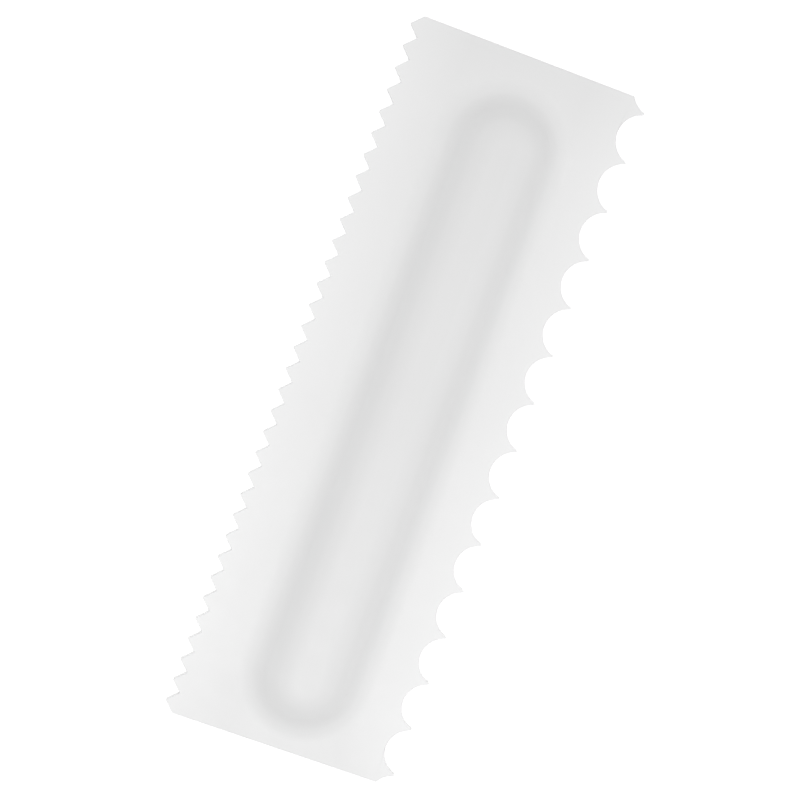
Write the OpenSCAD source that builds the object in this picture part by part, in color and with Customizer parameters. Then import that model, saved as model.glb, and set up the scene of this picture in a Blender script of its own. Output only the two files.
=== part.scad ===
// Icing smoother: a flat moulded comb with a sawtooth edge, a scalloped edge,
// two straight ends and a raised hollow grip. Millimetres, +Z up.
// It lies on its flat back. The origin is the centre of the back, X runs across
// the blade towards the scallops and Y runs along it.

/* [Plate] */
// Length of the blade between its straight ends
blade_len = 225; // [120:1:320]
// Width of the blade over the tooth tips and the scallop cusps
blade_w = 75; // [64:0.5:120]
// Thickness of the flat plate
plate_t = 2; // [1.2:0.1:3.5]

/* [Sawtooth edge] */
// Teeth along the edge, whose outer valleys lie on the straight ends
tooth_count = 33; // [20:1:60]
// Angle between the two flanks of a tooth
tooth_angle = 90; // [60:1:120]
// Width of the blunt tip of a tooth
tooth_tip_w = 0.3; // [0.1:0.05:1]
// Solid strip behind the valleys of the teeth
tooth_backing = 3.5; // [2:0.5:6]

/* [Scalloped edge] */
// Distance from one cusp to the next
scallop_pitch = 15.5; // [15:0.1:30]
// Radius of a scallop
scallop_r = 7.7; // [5.8:0.1:8.1]
// Depth of a scallop below the line of the cusps
scallop_depth = 5.7; // [3:0.1:7.5]
// Solid strip behind the scallops
scallop_backing = 3.5; // [2:0.5:6]

/* [Grip] */
// Flat rim of the plate between the grip and the straight end at -Y
rim_low = 3.5; // [1:0.25:40]
// Flat rim of the plate between the grip and the straight end at +Y
rim_high = 7.5; // [1:0.25:40]
// Distance of the grip's middle line from the blade's, towards the scallops
grip_offset = 0.8; // [-8:0.1:6]
// Width of the flat on top of the grip
grip_top_w = 5; // [2:0.5:15]
// Height of the grip above the plate
grip_h = 10; // [7:0.5:16]
// Rise of the grip's wall over the run below
wall_rise = 4; // [2.5:0.5:6]
// Run of the grip's wall for that rise
wall_run = 3; // [2.5:0.5:5]
// Radius of the rounded crest between the top and the wall
crest_r = 13; // [3.5:0.5:20]
// Radius of the fillet between the wall and the plate
foot_r = 10; // [2:0.5:18]
// Thickness of the grip's top and wall
grip_wall = 2; // [1.2:0.1:3]

/* [Hidden] */
$fn = 96;
plastic = "whitesmoke";
// Overshoot of a cutting solid past the face that it cuts
past = 1;

// Teeth
tooth_pitch = blade_len / tooth_count;
tooth_depth = (tooth_pitch - tooth_tip_w) / 2 / tan(tooth_angle / 2);
tip_x = -blade_w / 2;
valley_x = tip_x + tooth_depth;
sawtooth_seam_x = valley_x + tooth_backing;

// Scallops
cusp_x = blade_w / 2;
scallop_centre_x = cusp_x + scallop_r - scallop_depth;
scallop_seam_x = cusp_x - scallop_depth - scallop_backing;
// Scallops from the middle cusp to one end, the last of them cut by that end
scallops_per_half = ceil(blade_len / 2 / scallop_pitch);

// Grip section, in u across from the grip's spine and z above the back
top_z = plate_t + grip_h;
half_top = grip_top_w / 2;
sin_slope = wall_rise / norm([wall_rise, wall_run]);
cos_slope = wall_run / norm([wall_rise, wall_run]);
// The crest and the foot are rounded as far as the height of the wall allows
rounding = min(1, grip_h / ((crest_r + foot_r) * (1 - cos_slope)));
outer_crest_r = crest_r * rounding;
outer_foot_r = foot_r * rounding;
inner_crest_r = outer_crest_r - grip_wall;
inner_foot_r = outer_foot_r + grip_wall;
// The wall's outer face is the line u * sin_slope + z * cos_slope = wall_line
wall_line = half_top * sin_slope + (top_z - outer_crest_r) * cos_slope + outer_crest_r;
outer_foot_u = foot_end(outer_foot_r, plate_t, wall_line);
inner_foot_u = foot_end(inner_foot_r, 0, wall_line - grip_wall);
grip_edge_u = max(outer_foot_u, inner_foot_u);
// Half of the grip's spine, from its middle to where the straight and round parts meet
spine_half = (blade_len - rim_low - rim_high) / 2 - grip_edge_u;
// Place of the grip's middle along the blade
grip_y = (rim_low - rim_high) / 2;

// Where a foot fillet of radius r, between a wall line and the level base, runs out
function foot_end(r, base, line) = (line + r - (base + r) * cos_slope) / sin_slope;

// One tooth's valley and its blunt tip, as points of the edge from -Y to +Y
function tooth_points(i) =
    let (y = -blade_len / 2 + i * tooth_pitch, half_gap = (tooth_pitch - tooth_tip_w) / 2)
    [[valley_x, y], [tip_x, y + half_gap], [tip_x, y + half_gap + tooth_tip_w]];

// A plan outline with round ends, on the grip's spine
module racetrack(r) {
    for (turn = [0, 180])
        rotate(turn) {
            translate([-r, 0])
                square([2 * r, spine_half]);
            translate([0, spine_half])
                circle(r);
        }
}

// Half of a mound's section: a flat top, a round crest, a sloping wall and a foot
// fillet that runs out on the level base
module half_mound(top, crest, foot, base, line, below) {
    foot_u = foot_end(foot, base, line);
    crest_start = [half_top, top];
    crest_end = [half_top + crest * sin_slope, top - crest * (1 - cos_slope)];
    corner = [half_top + crest * (1 - cos_slope) / sin_slope, top];
    foot_start = [foot_u - foot * sin_slope, base + foot * (1 - cos_slope)];
    difference() {
        union() {
            polygon([[0, -below], [0, top], crest_start, crest_end,
                     foot_start, [foot_u, base], [foot_u, -below]]);
            intersection() {
                polygon([crest_start, corner, crest_end]);
                translate([half_top, top - crest])
                    circle(crest);
            }
        }
        translate([foot_u, base + foot])
            circle(foot);
    }
}

// Half of the grip's section: a shell of even wall, open below
module grip_section() {
    difference() {
        union() {
            half_mound(top_z, outer_crest_r, outer_foot_r, plate_t, wall_line, 0);
            square([grip_edge_u, plate_t]);
        }
        half_mound(top_z - grip_wall, inner_crest_r, inner_foot_r, 0,
                   wall_line - grip_wall, past);
    }
}

module web_plate() {
    color(plastic)
    difference() {
        translate([sawtooth_seam_x, -blade_len / 2, 0])
            cube([scallop_seam_x - sawtooth_seam_x, blade_len, plate_t]);
        translate([grip_offset, grip_y, -past])
            linear_extrude(plate_t + 2 * past)
                racetrack(grip_edge_u);
    }
}

module sawtooth_edge() {
    teeth = [for (i = [0:tooth_count - 1]) each tooth_points(i)];
    color(plastic)
    linear_extrude(plate_t)
        polygon(concat([[sawtooth_seam_x, -blade_len / 2]], teeth,
                       [[valley_x, blade_len / 2], [sawtooth_seam_x, blade_len / 2]]));
}

module scallop_edge() {
    color(plastic)
    difference() {
        translate([scallop_seam_x, -blade_len / 2, 0])
            cube([cusp_x - scallop_seam_x, blade_len, plate_t]);
        for (i = [-scallops_per_half:scallops_per_half - 1])
            translate([scallop_centre_x, (i + 0.5) * scallop_pitch, -past])
                cylinder(h = plate_t + 2 * past, r = scallop_r);
    }
}

// One half of the grip runs from its middle to the round end, and is turned for the other
module finger_grip() {
    color(plastic)
    translate([grip_offset, grip_y, 0])
        for (turn = [0, 180])
            rotate([0, 0, turn])
                translate([0, spine_half, 0]) {
                    rotate([90, 0, 0])
                        linear_extrude(spine_half) {
                            grip_section();
                            mirror([1, 0])
                                grip_section();
                        }
                    rotate_extrude(angle = 180)
                        grip_section();
                }
}

web_plate();
sawtooth_edge();
scallop_edge();
finger_grip();
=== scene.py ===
import cmath
import math

import bpy
from mathutils import Matrix, Quaternion, Vector


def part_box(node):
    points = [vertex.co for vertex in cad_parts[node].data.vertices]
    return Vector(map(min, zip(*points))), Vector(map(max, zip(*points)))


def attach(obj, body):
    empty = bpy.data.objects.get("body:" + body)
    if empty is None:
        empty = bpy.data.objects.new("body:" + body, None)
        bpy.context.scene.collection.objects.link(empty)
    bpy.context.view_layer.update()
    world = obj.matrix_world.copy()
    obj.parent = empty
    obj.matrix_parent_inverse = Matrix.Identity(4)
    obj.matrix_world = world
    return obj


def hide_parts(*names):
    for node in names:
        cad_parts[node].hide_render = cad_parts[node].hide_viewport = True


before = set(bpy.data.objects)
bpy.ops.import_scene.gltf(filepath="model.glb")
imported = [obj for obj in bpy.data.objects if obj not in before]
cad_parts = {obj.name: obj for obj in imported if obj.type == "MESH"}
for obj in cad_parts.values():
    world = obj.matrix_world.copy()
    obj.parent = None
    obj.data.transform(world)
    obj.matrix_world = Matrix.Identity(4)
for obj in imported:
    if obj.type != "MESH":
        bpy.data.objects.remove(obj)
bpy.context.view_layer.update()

mm = 0.001
UP = (0, 0, 1)
DOWN = (0, 0, -1)
# Lengths under this one count as none
tiny = 1e-9

# Sizes that the frame gives
web_low, web_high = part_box("web_plate")
plate_t = web_high.z
end_low, end_high = web_low.y, web_high.y
sawtooth_seam_x, scallop_seam_x = web_low.x, web_high.x
tip_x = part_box("sawtooth_edge")[0].x
cusp_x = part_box("scallop_edge")[1].x
grip_low, grip_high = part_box("finger_grip")
grip_x = (grip_low.x + grip_high.x) / 2
foot_u = (grip_high.x - grip_low.x) / 2

# Rounding of the moulded edges, and of the corners seen from above
edge_r = 0.3 * mm
corner_r = 0.5 * mm
valley_r = 0.15 * mm

# Sawtooth edge
tooth_count = 33
tooth_angle = math.radians(90)
tooth_tip_w = 0.3 * mm

# Scalloped edge
scallop_pitch = 15.5 * mm
scallop_r = 7.7 * mm
scallop_depth = 5.7 * mm
full_scallops = 14

# Grip section
grip_top_w = 5 * mm
wall_slope = math.atan2(4, 3)
crest_r = 13 * mm
foot_r = 10 * mm
grip_wall = 2 * mm

# Segments of the meshes
edge_steps = 4
fillet_steps = 3
tip_steps = 3
scallop_steps = 16
crest_steps = 14
foot_steps = 10
end_steps = 48
straight_steps = 48

# Tone of the plastic on the plate, and the darker tone on top of the grip, which is painted shade
plate_tone = 0.86
grip_shaded_tone = 0.815
# Painted light that pales the tone towards the long edges and painted shade that darkens it at the
# straight ends, as factors, and where they set in
rim_painted_light = 1.076
rim_start = 19 * mm
end_painted_shade = 0.973
end_start = 85 * mm
# Factors of the tone: painted shade on a slanting wall, painted light where a wall is steepest and
# painted light on an upright edge. The upward part of the surface's normal goes through each span as
# the factor fades out or in.
slant_painted_shade = 0.985
slant_span = (0.83, 0.92)
steep_painted_light = 1.021
steep_span = (math.cos(wall_slope), 0.785)
upright_painted_light = 1.065
upright_span = (0.3, 0.9)

# Surface of the plastic: sizes of the noises' patches, and heights of their relief
cloud_size = 40 * mm
cloud_depth = 0.006
cloud_span = (0.3, 0.7)
grain_size = 0.25 * mm
grain_height = 0.006 * mm
wave_size = 9 * mm
wave_height = 0.03 * mm
scuff_size = 0.5 * mm
scuff_stretch = 25
scuff_span = (0.62, 0.78)
scuff_height = -0.004 * mm
# Roughness of the glossiest and the dullest patches, and what a scuff adds to it
gloss_size = 6 * mm
gloss_span = (0.25, 0.75)
least_rough = 0.4
most_rough = 0.5
scuff_rough = 0.12
plastic_ior = 1.49

# Studio: the sky's strength all round, and what a soft glow adds to it in one direction
sky = 0.508
glow = 0.74
glow_way = Vector((-0.4, 0.6, 1)).normalized()
glow_focus = 6

# White floor: its half width, how far it lies under the object, its tone and its own light
floor_reach = 4
floor_drop = 0.02 * mm
floor_tone = 0.9
floor_rough = 0.9
floor_glow = 0.48


class Skin:
    """Collects faces that have a normal at each corner, and makes one closed mesh of them.
    A corner is a (point, normal) pair. Faces run against the clock, seen from outside."""

    def __init__(self):
        self.number = {}
        self.points = []
        self.faces = []
        self.normals = []

    def vertex(self, point):
        key = tuple(round(c / tiny) for c in point)
        if key not in self.number:
            self.number[key] = len(self.points)
            self.points.append(point)
        return self.number[key]

    def face(self, corners):
        """Adds a face, without corners that fall together."""
        kept = {}
        for point, normal in corners:
            kept.setdefault(self.vertex(point), normal)
        if len(kept) > 2:
            self.faces.append(list(kept))
            self.normals.extend(kept.values())

    def flat(self, points, normal):
        self.face([(p, normal) for p in points])

    def grid(self, rows, closed=False):
        """Adds quads between rows of corners. Seen from outside they run down, and each to the left."""
        for above, below in zip(rows, rows[1:]):
            steps = len(above) if closed else len(above) - 1
            for j in range(steps):
                k = (j + 1) % len(above)
                self.face([above[j], above[k], below[k], below[j]])

    def ladder(self, points, normal):
        """Fills a flat outline with quads, each between two pairs of points, from its ends inwards."""
        i, j = 0, len(points) - 1
        while j - i > 1:
            self.flat([points[i], points[i + 1], points[j - 1], points[j]], normal)
            i, j = i + 1, j - 1

    def build(self, name, material):
        mesh = bpy.data.meshes.new(name)
        mesh.from_pydata(self.points, [], self.faces)
        mesh.shade_smooth()
        mesh.normals_split_custom_set(self.normals)
        mesh.materials.append(material)
        piece = bpy.data.objects.new(name, mesh)
        bpy.context.scene.collection.objects.link(piece)
        return piece


def raised(spot, z):
    """A plan point, which is a complex number, at a height."""
    return (spot.real, spot.imag, z)


def arc(centre, radius, first, last, steps, hollow=False):
    """A round stretch of an outline as (plan point, outward normal) pairs. first and last are the
    normal's angles, and on a hollow stretch the plastic lies outside the circle."""
    pairs = []
    for i in range(steps + 1):
        normal = cmath.rect(1, first + (last - first) * i / steps)
        pairs.append((centre + (-radius if hollow else radius) * normal, normal))
    return pairs


def fillet(corner, before, after, radius, steps):
    """A rounded corner of an outline that has the plastic on its right, as arc() gives it.
    before and after are the outline's directions on either side of the corner."""
    turn = cmath.phase(after / before)
    hollow = turn > 0
    normal = before * 1j
    reach = radius * math.tan(abs(turn) / 2)
    centre = corner - reach * before + (radius if hollow else -radius) * normal
    first = cmath.phase(normal)
    return arc(centre, radius, first, first + turn, steps, hollow)


def tooth_edge():
    """The toothed outline from the low end to the high end: a list of pairs for each tooth."""
    pitch = (end_high - end_low) / tooth_count
    outwards = cmath.rect(1, math.pi - tooth_angle / 2)
    inwards = cmath.rect(1, tooth_angle / 2)
    blunt = tooth_tip_w / 2 / math.tan(tooth_angle / 2)
    tip_r = blunt / (1 / math.sin(tooth_angle / 2) - 1)
    valley_x = tip_x - blunt + pitch / 2 / math.tan(tooth_angle / 2)
    lobes = []
    for i in range(tooth_count):
        low = complex(valley_x, end_low + i * pitch)
        high = low + pitch * 1j
        apex = complex(tip_x - blunt, low.imag + pitch / 2)
        start = fillet(low, inwards, outwards, valley_r, 2 * fillet_steps)[fillet_steps:]
        tip = fillet(apex, outwards, inwards, tip_r, 2 * tip_steps)
        stop = fillet(high, inwards, outwards, valley_r, 2 * fillet_steps)[:fillet_steps + 1]
        if i == 0:
            start = fillet(low, -1, outwards, corner_r, fillet_steps)
        if i == tooth_count - 1:
            stop = fillet(high, inwards, 1, corner_r, fillet_steps)
        lobes.append(start + tip + stop)
    return lobes


def cusp_edge():
    """The scalloped outline from the high end to the low end: a list of pairs for each cusp."""
    set_back = scallop_r - scallop_depth
    half = scallop_pitch / 2
    # The cusp's round tip touches both scallops and the line of the cusps
    cusp_r = (set_back ** 2 + half ** 2 - scallop_r ** 2) / (2 * scallop_depth)
    flank = math.atan2(half, set_back + cusp_r)
    # The round corner at each end touches the last scallop and the end
    rise = full_scallops / 2 * scallop_pitch + half - end_high + corner_r
    run = math.sqrt((scallop_r + corner_r) ** 2 - rise ** 2)
    slant = math.atan2(rise, run)
    corner = complex(cusp_x + set_back - run, end_high - corner_r)
    short_steps = scallop_steps - fillet_steps
    lobes = []
    for i in range(full_scallops + 1):
        y = (full_scallops / 2 - i) * scallop_pitch
        above = complex(cusp_x + set_back, y + half)
        below = complex(cusp_x + set_back, y - half)
        start = arc(above, scallop_r, 0, flank, scallop_steps, True)
        tip = arc(complex(cusp_x - cusp_r, y), cusp_r, flank, -flank, 2 * tip_steps)
        stop = arc(below, scallop_r, -flank, 0, scallop_steps, True)
        if i == 0:
            start = arc(corner, corner_r, math.pi / 2, slant, fillet_steps)[:-1]
            start += arc(above, scallop_r, slant, flank, short_steps, True)
        if i == full_scallops:
            stop = arc(below, scallop_r, -flank, -slant, short_steps, True)[:-1]
            stop += arc(corner.conjugate(), corner_r, -slant, -math.pi / 2, fillet_steps)
        lobes.append(start + tip[1:-1] + stop)
    return lobes


def edge_rows(chain):
    """The rows of corners of the plate's rounded edge along an outline, from its top to its back."""
    rows = []
    for level, first in ((plate_t - edge_r, 0), (edge_r, 1)):
        for i in range(edge_steps + 1):
            angle = (first + i / edge_steps) * math.pi / 2
            out, up = math.sin(angle), math.cos(angle)
            inset, z = edge_r * (1 - out), level + edge_r * up
            rows.append([(raised(spot - inset * n, z), (out * n.real, out * n.imag, up))
                         for spot, n in chain])
    return rows


def strip(lobes, seam_x):
    """A long edge of the blade, from its outline to its seam with the web."""
    skin = Skin()
    seam_normal = (math.copysign(1, -seam_x), 0, 0)
    start, stop = lobes[0][0], lobes[-1][-1]
    chain = [(complex(seam_x, start[0].imag), start[1])]
    for lobe in lobes:
        chain += lobe if lobe is lobes[0] else lobe[1:]
    chain.append((complex(seam_x, stop[0].imag), stop[1]))
    rows = edge_rows(chain)
    skin.grid(rows)
    skin.flat([row[0][0] for row in rows], seam_normal)
    skin.flat([row[-1][0] for row in reversed(rows)], seam_normal)
    for lobe in lobes:
        inner = [spot - edge_r * n for spot, n in lobe]
        first, last = complex(seam_x, inner[0].imag), complex(seam_x, inner[-1].imag)
        for z, normal, way in ((plate_t, UP, -1), (0, DOWN, 1)):
            skin.ladder([raised(p, z) for p in inner][::way], normal)
            skin.flat([raised(p, z) for p in (first, inner[0], inner[-1], last)][::way], normal)
        skin.flat([raised(first, 0), raised(last, 0), raised(last, plate_t), raised(first, plate_t)],
                  seam_normal)
    return skin


def spine():
    """The grip's path as (plan point on the spine, way out) pairs, once round with the clock."""
    low = complex(grip_x, grip_low.y + foot_u)
    high = complex(grip_x, grip_high.y - foot_u)
    path = [(high + (low - high) * i / straight_steps, 1) for i in range(straight_steps)]
    path += [(low, cmath.rect(1, -math.pi * i / end_steps)) for i in range(end_steps)]
    path += [(low + (high - low) * i / straight_steps, -1) for i in range(straight_steps)]
    path += [(high, cmath.rect(1, math.pi * (1 - i / end_steps))) for i in range(end_steps)]
    return path


def bend(u, z, radius, first, last, steps, side=1):
    """A round stretch of the grip's section as (u, z, normal's u, normal's z). The angles are
    measured from straight up, and side is -1 where the plastic lies outside the circle."""
    stretch = []
    for i in range(steps + 1):
        angle = first + (last - first) * i / steps
        out, up = math.sin(angle), math.cos(angle)
        stretch.append((u + radius * out, z + radius * up, side * out, side * up))
    return stretch


def grip():
    """The raised grip: a shell of even wall, swept round its spine."""
    crest = (grip_top_w / 2, grip_high.z - crest_r)
    foot = (foot_u, plate_t + foot_r)
    over = wall_slope + math.pi
    outer = bend(*crest, crest_r, 0, wall_slope, crest_steps)
    outer += bend(*foot, foot_r, over, math.pi, foot_steps, -1)
    inner = bend(*foot, foot_r + grip_wall, math.pi, over, foot_steps)
    inner += bend(*crest, crest_r - grip_wall, wall_slope, 0, crest_steps, -1)
    skin = Skin()
    path = spine()
    for section in (outer, inner):
        rows = [[(raised(at + u * way, z), (nu * way.real, nu * way.imag, nz)) for at, way in path]
                for u, z, nu, nz in section]
        skin.grid(rows, closed=True)
    sides = [(at + foot_u * way, (way.real, way.imag, 0)) for at, way in path]
    skin.grid([[(raised(p, z), n) for p, n in sides] for z in (plate_t, 0)], closed=True)
    # The flats begin half way round the low end, so that the ladder's rungs lie across the grip
    start = straight_steps + end_steps // 2
    flat = [at + grip_top_w / 2 * way for at, way in path[start:] + path[:start]]
    skin.ladder([raised(p, grip_high.z) for p in reversed(flat)], UP)
    skin.ladder([raised(p, grip_high.z - grip_wall) for p in flat], DOWN)
    return skin


def web():
    """The flat web between the seams, round the grip's foot."""
    skin = Skin()
    seams = {-1: sawtooth_seam_x, 1: scallop_seam_x}
    ends = {-1: end_low + edge_r, 1: end_high - edge_r}
    # Each ray runs from the spine past the grip's foot to a seam or an end
    rays = []
    for at, way in spine():
        reach = []
        if abs(way.real) > tiny:
            reach.append((seams[math.copysign(1, way.real)] - at.real) / way.real)
        if abs(way.imag) > tiny:
            reach.append((ends[math.copysign(1, way.imag)] - at.imag) / way.imag)
        rays.append((at, way, at + min(reach) * way))
    rim = []
    for (at, way, out), (next_at, next_way, next_out) in zip(rays, rays[1:] + rays[:1]):
        rim.append(out)
        corner = []
        if min(abs(out.real - next_out.real), abs(out.imag - next_out.imag)) > tiny:
            corner = [complex(seams[math.copysign(1, out.real)], ends[math.copysign(1, out.imag)])]
            rim += corner
        outline = [at + foot_u * way, out, *corner, next_out, next_at + foot_u * next_way]
        skin.flat([raised(p, plate_t) for p in reversed(outline)], UP)
        skin.flat([raised(p, 0) for p in outline], DOWN)
    hole = [(at + foot_u * way, (-way.real, -way.imag, 0)) for at, way, _ in rays]
    skin.grid([[(raised(p, z), n) for p, n in hole] for z in (0, plate_t)], closed=True)
    for side, seam_x in seams.items():
        line = sorted((p for p in rim if abs(p.real - seam_x) < tiny), key=lambda p: -side * p.imag)
        skin.grid([[(raised(p, z), (side, 0, 0)) for p in line] for z in (plate_t, 0)])
    for side, end_y in ends.items():
        line = sorted((p for p in rim if abs(p.imag - end_y) < tiny), key=lambda p: side * p.real)
        rows = edge_rows([(p + side * edge_r * 1j, side * 1j) for p in line])
        skin.grid(rows)
        skin.flat([row[0][0] for row in rows], (-side, 0, 0))
        skin.flat([row[-1][0] for row in reversed(rows)], (side, 0, 0))
    return skin


class Shade:
    """Adds shader nodes to a tree. An input is given as a number, a tuple or a node's output."""

    def __init__(self, tree):
        self.tree = tree

    def join(self, socket, value):
        if isinstance(value, bpy.types.NodeSocket):
            self.tree.links.new(value, socket)
        else:
            socket.default_value = value

    def node(self, kind, inputs, **settings):
        """Adds a node and gives its first output."""
        made = self.tree.nodes.new("ShaderNode" + kind)
        for name, setting in settings.items():
            setattr(made, name, setting)
        for key, value in inputs.items():
            self.join(made.inputs[key], value)
        return next(output for output in made.outputs if output.enabled)

    def math(self, operation, *values):
        return self.node("Math", dict(enumerate(values)), operation=operation)

    def split(self, vector):
        """Gives the three parts of a vector."""
        made = self.tree.nodes.new("ShaderNodeSeparateXYZ")
        self.join(made.inputs[0], vector)
        return made.outputs

    def blend(self, value, low, high, at_low=0, at_high=1, course="SMOOTHSTEP"):
        """Goes from at_low to at_high as the value goes from low to high, with soft ends or evenly."""
        return self.node("MapRange", {"Value": value, "From Min": low, "From Max": high,
                                      "To Min": at_low, "To Max": at_high},
                         interpolation_type=course)

    def noise(self, place, size, detail, roughness=0.5):
        """A noise from 0 to 1 with patches of about the given size in metres."""
        return self.node("TexNoise", {"Vector": place, "Scale": 1 / size, "Detail": detail,
                                      "Roughness": roughness})

    def stretched(self, place, factors):
        return self.node("VectorMath", {0: place, 1: factors}, operation="MULTIPLY")


def new_material(name):
    """Gives a new material, its shader node and a Shade that adds nodes to it."""
    material = bpy.data.materials.new(name)
    material.use_nodes = True
    return material, material.node_tree.nodes["Principled BSDF"], Shade(material.node_tree)


def plastic():
    """White moulded plastic, satin and neutral. Its tone carries painted light and shade in place of
    its slight
    translucency: painted light towards the long edges, on upright edges and where the grip's wall is
    steepest, and painted shade on the grip, on its slanting wall and at the straight ends. It has a
    fine grain, soft waves from the mould and faint scuffs from use along the blade."""
    material, shader, shade = new_material("satin_plastic")
    coords = shade.tree.nodes.new("ShaderNodeTexCoord")
    place = coords.outputs["Object"]
    x, y, z = shade.split(place)
    level = shade.math("ABSOLUTE", shade.split(coords.outputs["Normal"])["Z"])

    across = shade.math("ABSOLUTE", x)
    along = shade.math("ABSOLUTE", y)
    # The plate's upright edges, which get painted light
    edge = shade.math("MULTIPLY", shade.blend(level, *upright_span, 1, 0),
                      shade.blend(z, plate_t - edge_r, plate_t, 1, 0))
    cloud = shade.noise(place, cloud_size, detail=2)
    # Painted shade: the tone darkens from the plate up to the top of the grip
    tone = shade.blend(z, plate_t, grip_high.z, plate_tone, grip_shaded_tone)
    # Painted light: paler towards the long edges
    for factor in (shade.blend(across, rim_start, cusp_x, 1, rim_painted_light, "LINEAR"),
                   # Painted shade: darker towards the straight ends
                   shade.blend(along, end_start, end_high, 1, end_painted_shade),
                   # Painted shade: darker on a slanting wall
                   shade.blend(level, *slant_span, slant_painted_shade, 1),
                   # Painted light: paler where the grip's wall is steepest
                   shade.blend(level, *steep_span, steep_painted_light, 1),
                   # Painted light: paler on the plate's upright edges
                   shade.math("MULTIPLY_ADD", edge, upright_painted_light - 1, 1),
                   shade.blend(cloud, *cloud_span, 1 - cloud_depth, 1 + cloud_depth)):
        tone = shade.math("MULTIPLY", tone, factor)
    shade.join(shader.inputs["Base Color"],
               shade.node("CombineColor", {"Red": tone, "Green": tone, "Blue": tone}))

    grain = shade.noise(place, grain_size, detail=3)
    waves = shade.noise(place, wave_size, detail=1)
    streaks = shade.stretched(place, (1, 1 / scuff_stretch, 1))
    scuffs = shade.blend(shade.noise(streaks, scuff_size, detail=2, roughness=0.6), *scuff_span)
    patches = shade.noise(place, gloss_size, detail=4, roughness=0.6)
    rough = shade.blend(patches, *gloss_span, least_rough, most_rough)
    rough = shade.math("MULTIPLY_ADD", scuffs, scuff_rough, rough)
    shade.join(shader.inputs["Roughness"], rough)
    height = shade.math("MULTIPLY", waves, wave_height)
    height = shade.math("MULTIPLY_ADD", grain, grain_height, height)
    height = shade.math("MULTIPLY_ADD", scuffs, scuff_height, height)
    shade.join(shader.inputs["Normal"], shade.node("Bump", {"Height": height, "Distance": 1}))
    shader.inputs["IOR"].default_value = plastic_ior
    return material


def backdrop_rays(shade):
    """1 for the rays that see the floor and the world directly, in gloss or through glass."""
    path = shade.tree.nodes.new("ShaderNodeLightPath")
    seen = shade.math("MAXIMUM", path.outputs["Is Camera Ray"], path.outputs["Is Glossy Ray"])
    return shade.math("MAXIMUM", seen, path.outputs["Is Transmission Ray"])


def floor():
    """A white floor that keeps the object's shadow."""
    skin = Skin()
    skin.flat([(x * floor_reach, y * floor_reach, -floor_drop)
               for x, y in ((-1, -1), (1, -1), (1, 1), (-1, 1))], UP)
    material, shader, shade = new_material("floor")
    shader.inputs["Base Color"].default_value = (floor_tone, floor_tone, floor_tone, 1)
    shader.inputs["Roughness"].default_value = floor_rough
    shader.inputs["Emission Color"].default_value = (1, 1, 1, 1)
    shade.join(shader.inputs["Emission Strength"],
               shade.math("MULTIPLY", backdrop_rays(shade), floor_glow))
    piece = skin.build("floor", material)


def lamp(name, place, size, power):
    """A round soft lamp that is aimed at the object."""
    data = bpy.data.lights.new(name, "AREA")
    data.shape = "DISK"
    data.size = size
    data.energy = power
    thing = bpy.data.objects.new(name, data)
    thing.location = place
    thing.rotation_mode = "QUATERNION"
    thing.rotation_quaternion = (-Vector(place)).to_track_quat("-Z", "Y")
    bpy.context.scene.collection.objects.link(thing)


def lights():
    """Soft light from all round, which the camera sees as a white background, and three lamps."""
    world = bpy.data.worlds.new("world")
    bpy.context.scene.world = world
    world.use_nodes = True
    shade = Shade(world.node_tree)
    background = world.node_tree.nodes["Background"]
    background.inputs["Color"].default_value = (1, 1, 1, 1)
    way = shade.tree.nodes.new("ShaderNodeTexCoord").outputs["Generated"]
    facing = shade.node("VectorMath", {0: way, 1: glow_way}, operation="DOT_PRODUCT")
    facing = shade.math("POWER", shade.math("MAXIMUM", facing, 0), glow_focus)
    light = shade.math("MULTIPLY_ADD", facing, glow, sky)
    shade.join(background.inputs["Strength"],
               shade.node("Mix", {"Factor": backdrop_rays(shade), "A": light, "B": 1.0}))
    lamp("near_lamp", place=(0, -0.3, 0.6), size=0.4, power=0.99)
    lamp("high_lamp", place=(0.375, 0.138, 0.8), size=0.5, power=0.68)
    lamp("low_lamp", place=(0.845, 0.311, 0.35), size=0.5, power=0.39)


def camera():
    """The photograph's view: nearly from above, turned about its own axis."""
    spot = Vector((-44.66, 50.13, 499.14)) * mm
    aim = Vector((-1.717, 2.743, 2)) * mm
    roll = math.radians(20.3)
    along = Vector((0, 1, 0))
    back = (spot - aim).normalized()
    right = along.cross(back).normalized()
    level = Matrix((right, back.cross(right), back)).transposed().to_quaternion()
    data = bpy.data.cameras.new("camera")
    data.sensor_width = 36
    data.lens = 74.32
    thing = bpy.data.objects.new("camera", data)
    thing.location = spot
    thing.rotation_mode = "QUATERNION"
    thing.rotation_quaternion = level @ Quaternion((0, 0, 1), roll)
    bpy.context.scene.collection.objects.link(thing)
    bpy.context.scene.camera = thing


bpy.context.scene.view_settings.view_transform = "Standard"
camera()
finish = plastic()
for node, skin in (("web_plate", web()), ("sawtooth_edge", strip(tooth_edge(), sawtooth_seam_x)),
                   ("scallop_edge", strip(cusp_edge(), scallop_seam_x)), ("finger_grip", grip())):
    piece = skin.build(node + "_moulding", finish)
    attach(piece, "root")
    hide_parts(node)
floor()
lights()
